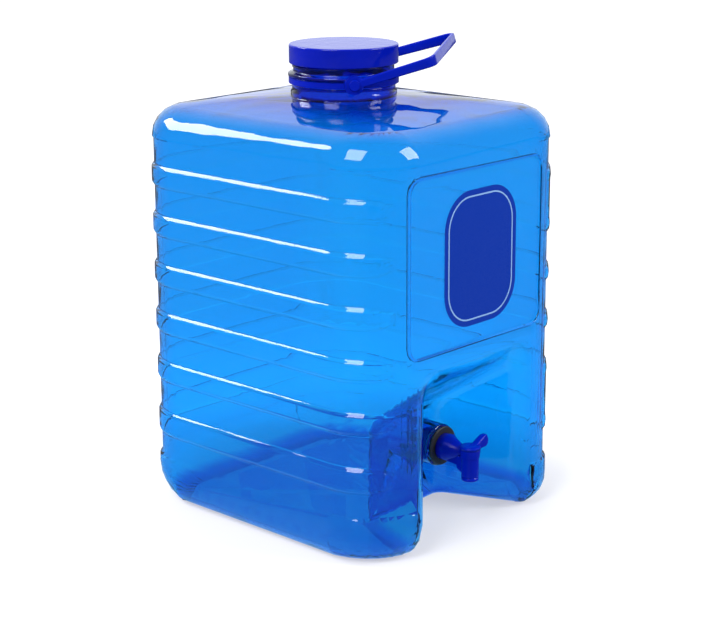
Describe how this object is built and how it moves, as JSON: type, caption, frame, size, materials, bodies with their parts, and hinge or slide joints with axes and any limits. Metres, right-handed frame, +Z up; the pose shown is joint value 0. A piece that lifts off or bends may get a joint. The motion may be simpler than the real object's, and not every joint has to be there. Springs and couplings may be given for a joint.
{
  "type": "water container with tap",
  "caption": "Upright ribbed plastic water container with a wide screw cap, a swivelling strap handle on the neck, and a lever tap set in an alcove at the foot of its front.",
  "frame": {"origin": "the middle of the base, on the surface that the container stands on", "axes": "+Z up through the neck, -Y out of the front with the tap, +X to the right when looking at the back"},
  "size_m": [0.2444, 0.2754, 0.3833],
  "materials": {
    "tank": "glossy, see-through blue",
    "cap": "satin, opaque",
    "handle": "satin, opaque",
    "tap": "satin, opaque",
    "liner": "soft, matt",
    "rubber": "matt black"
  },
  "bodies": {
    "tank": {"tank_body": "tank", "tap_body": "tap", "tap_spout": "tap", "tap_outer_washer": "rubber", "tap_inner_washer": "liner", "tap_lock_nut": "tap"},
    "cap_seat": {"cap_liner": "liner"},
    "cap": {"screw_cap": "cap"},
    "collar": {"handle_collar": "handle", "bail_pin_near": "handle", "bail_pin_far": "handle"},
    "bail": {"bail_handle": "handle"},
    "tap_handle": {"tap_plug": "tap", "tap_lever": "tap", "plug_seal_upper": "rubber", "plug_seal_lower": "rubber"}
  },
  "joints": [
    {"name": "cap_lift", "type": "slide", "parent": "tank", "child": "cap_seat", "axis": [0, 0, 1], "range_m": [0, 0.07]},
    {"name": "cap_turn", "type": "hinge", "parent": "cap_seat", "child": "cap", "pos_m": [0, 0.0067, 0.3747], "axis": [0, 0, 1], "range_deg": [0, 540]},
    {"name": "collar_swivel", "type": "hinge", "parent": "tank", "child": "collar", "pos_m": [0, 0.0067, 0.3536], "axis": [0, 0, 1], "continuous": true},
    {"name": "bail_hinge", "type": "hinge", "parent": "collar", "child": "bail", "pos_m": [0, 0.0067, 0.3547], "axis": [-0.6101, -0.7923, 0], "range_deg": [-22, 171]},
    {"name": "tap_turn", "type": "hinge", "parent": "tank", "child": "tap_handle", "pos_m": [0, -0.1289, 0.069], "axis": [0, 0, 1], "range_deg": [-90, 0]}
  ]
}
